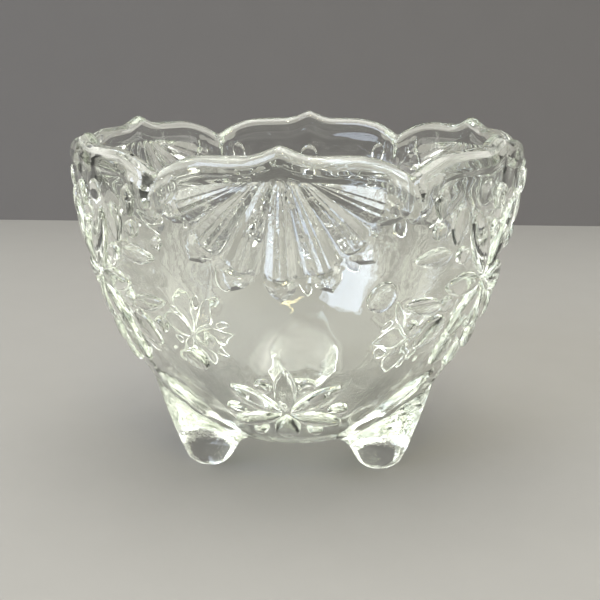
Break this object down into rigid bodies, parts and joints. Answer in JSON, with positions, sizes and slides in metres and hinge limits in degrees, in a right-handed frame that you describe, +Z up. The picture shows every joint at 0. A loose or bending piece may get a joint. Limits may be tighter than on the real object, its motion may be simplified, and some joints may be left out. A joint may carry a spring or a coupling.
{
  "type": "candy dish",
  "caption": "Open round candy dish of clear pressed glass with a lobed rim, relief flowers and fans on the wall, and short feet.",
  "frame": {"origin": "on the table, under the middle of the bowl", "axes": "+Z up through the middle of the bowl; -Y is the front, the middle of one fan, and one foot stands at +Y"},
  "size_m": [0.11, 0.11, 0.084],
  "materials": {
    "clear_glass": "clear soda-lime glass with a faint green tint in the thick places, pressed in a mould and fire-polished"
  },
  "bodies": {
    "root": {"bowl": "clear_glass", "foot_front_left": "clear_glass", "foot_front_right": "clear_glass", "foot_rear": "clear_glass"}
  },
  "joints": []
}
